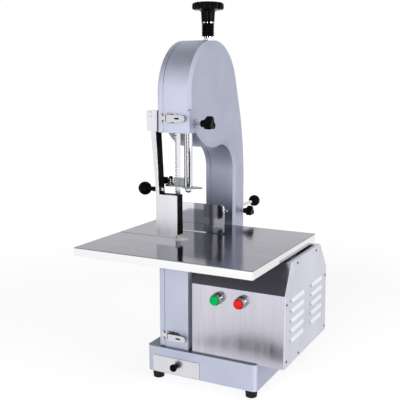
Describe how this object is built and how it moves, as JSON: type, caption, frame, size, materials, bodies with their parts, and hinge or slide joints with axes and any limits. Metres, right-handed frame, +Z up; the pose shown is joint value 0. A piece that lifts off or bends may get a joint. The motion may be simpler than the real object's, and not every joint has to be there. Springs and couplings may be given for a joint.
{
  "type": "bone saw",
  "caption": "Counter-top band saw for bones: C-shaped casting, steel table, fence, swing pusher, height-set blade guide, refuse drawer and side motor housing.",
  "frame": {"origin": "on the floor under the middle of the overall box", "axes": "+Z up, -Y the front with buttons and drawer, -X the side the operator feeds from"},
  "size_m": [0.469, 0.633, 0.9219],
  "materials": {
    "painted_casting": "satin",
    "stainless": "brushed",
    "chrome": "polished",
    "black_plastic": "gloss",
    "rubber": "matte",
    "blade_steel": "satin",
    "white_plastic": "satin",
    "green_plastic": "gloss",
    "red_plastic": "gloss",
    "cast_wheel": "machined",
    "dark_steel": "satin",
    "motor_paint": "satin"
  },
  "bodies": {
    "frame": {"base_box": "painted_casting", "blade": "blade_steel", "blade_insert": "white_plastic", "blade_scraper": "white_plastic", "box_cover": "stainless", "box_front_panel": "stainless", "box_inner_side": "stainless", "box_side_panel": "painted_casting", "button_bezels": "chrome", "cable_gland": "black_plastic", "casting_hinge_leaves": "stainless", "disc_springs": "dark_steel", "feet": "rubber", "foot_studs": "stainless", "frame_casting": "painted_casting", "latch_bases": "stainless", "lower_guide": "dark_steel", "motor_body": "motor_paint", "rod_bush": "stainless", "side_screws": "stainless", "switch_blocks": "black_plastic", "table_bars": "stainless", "table_bolts": "stainless", "table_plate": "stainless", "tension_collar": "chrome"},
    "door": {"side_door": "painted_casting", "door_hinge_leaves": "stainless", "latch_keepers": "stainless", "pusher_bracket": "stainless"},
    "pusher": {"pusher_plate": "stainless", "pusher_rail": "black_plastic", "pusher_handle": "black_plastic", "pusher_bolt": "stainless"},
    "drawer": {"drawer_tray": "stainless", "drawer_knob": "black_plastic"},
    "upper_latch": {"upper_latch_lever": "stainless"},
    "lower_latch": {"lower_latch_lever": "stainless"},
    "upper_loop": {"upper_latch_bail": "stainless"},
    "lower_loop": {"lower_latch_bail": "stainless"},
    "tension_screw": {"tension_screw": "chrome", "knob_washer": "chrome", "tension_knob": "black_plastic"},
    "tension_slide": {"tension_block": "dark_steel"},
    "upper_wheel": {"upper_wheel": "cast_wheel", "upper_bearings": "chrome"},
    "lower_wheel": {"lower_wheel": "cast_wheel", "motor_shaft": "chrome"},
    "guide": {"guide_post": "chrome", "guide_bracket": "stainless", "guide_blocks": "dark_steel", "guide_pin": "chrome", "pin_cap": "black_plastic"},
    "guide_side_knob": {"guide_side_knob": "black_plastic"},
    "guide_clamp": {"guide_clamp_knob": "black_plastic"},
    "fence": {"fence_plate": "stainless", "fence_rod": "chrome", "fence_ball": "black_plastic"},
    "fence_clamp": {"fence_clamp_knob": "black_plastic"},
    "start_button": {"start_button": "green_plastic"},
    "stop_button": {"stop_button": "red_plastic"}
  },
  "joints": [
    {"name": "door_hinge", "type": "hinge", "parent": "frame", "child": "door", "pos_m": [-0.0827, 0.1665, 0.43], "axis": [0, 0, -1], "range_deg": [0, 105]},
    {"name": "pusher_swing", "type": "hinge", "parent": "door", "child": "pusher", "pos_m": [-0.1165, -0.1465, 0.6565], "axis": [0, 1, 0], "range_deg": [0, 40]},
    {"name": "drawer_slide", "type": "slide", "parent": "frame", "child": "drawer", "axis": [0, -1, 0], "range_m": [0, 0.2]},
    {"name": "upper_latch_lever", "type": "hinge", "parent": "frame", "child": "upper_latch", "pos_m": [-0.0685, -0.169, 0.6485], "axis": [0, 0, -1], "range_deg": [0, 110]},
    {"name": "upper_latch_loop", "type": "hinge", "parent": "upper_latch", "child": "upper_loop", "pos_m": [-0.0605, -0.1647, 0.6485], "axis": [0, 0, -1], "range_deg": [-110, 0]},
    {"name": "lower_latch_lever", "type": "hinge", "parent": "frame", "child": "lower_latch", "pos_m": [-0.0685, -0.169, 0.116], "axis": [0, 0, -1], "range_deg": [0, 110]},
    {"name": "lower_latch_loop", "type": "hinge", "parent": "lower_latch", "child": "lower_loop", "pos_m": [-0.0605, -0.1647, 0.116], "axis": [0, 0, -1], "range_deg": [-110, 0]},
    {"name": "tension_screw_turn", "type": "hinge", "parent": "frame", "child": "tension_screw", "pos_m": [-0.0405, -0.013, 0.831], "axis": [0, 0, 1], "range_deg": [-1445, 5]},
    {"name": "tension_slide", "type": "slide", "parent": "frame", "child": "tension_slide", "axis": [0, 0, 1], "range_m": [-0.008, 0]},
    {"name": "lower_wheel_spin", "type": "hinge", "parent": "frame", "child": "lower_wheel", "pos_m": [-0.0745, -0.013, 0.208], "axis": [1, 0, 0], "continuous": true},
    {"name": "upper_wheel_spin", "type": "hinge", "parent": "tension_slide", "child": "upper_wheel", "pos_m": [-0.0745, -0.013, 0.701], "axis": [1, 0, 0], "continuous": true},
    {"name": "guide_height", "type": "slide", "parent": "frame", "child": "guide", "axis": [0, 0, 1], "range_m": [-0.07, 0.05]},
    {"name": "guide_side_knob_turn", "type": "hinge", "parent": "guide", "child": "guide_side_knob", "pos_m": [-0.0981, -0.1165, 0.494], "axis": [1, 0, 0], "range_deg": [0, 360]},
    {"name": "guide_clamp_turn", "type": "hinge", "parent": "frame", "child": "guide_clamp", "pos_m": [-0.0135, -0.1325, 0.636], "axis": [1, 0, 0], "range_deg": [0, 360]},
    {"name": "fence_slide", "type": "slide", "parent": "frame", "child": "fence", "axis": [0, 1, 0], "range_m": [-0.07, 0.1]},
    {"name": "fence_clamp_turn", "type": "hinge", "parent": "frame", "child": "fence_clamp", "pos_m": [-0.0135, 0.1385, 0.385], "axis": [1, 0, 0], "range_deg": [0, 360]},
    {"name": "start_button_press", "type": "slide", "parent": "frame", "child": "start_button", "axis": [0, 1, 0], "range_m": [0, 0.004], "stiffness_N_per_m": 600},
    {"name": "stop_button_press", "type": "slide", "parent": "frame", "child": "stop_button", "axis": [0, 1, 0], "range_m": [0, 0.004], "stiffness_N_per_m": 600}
  ],
  "couplings": [
    {"joint": "upper_latch_loop", "follows": "upper_latch_lever", "ratio": -1},
    {"joint": "lower_latch_loop", "follows": "lower_latch_lever", "ratio": -1},
    {"joint": "tension_screw_turn", "follows": "tension_slide", "rad_per_m": 3141.6},
    {"joint": "upper_wheel_spin", "follows": "lower_wheel_spin", "ratio": 1}
  ]
}
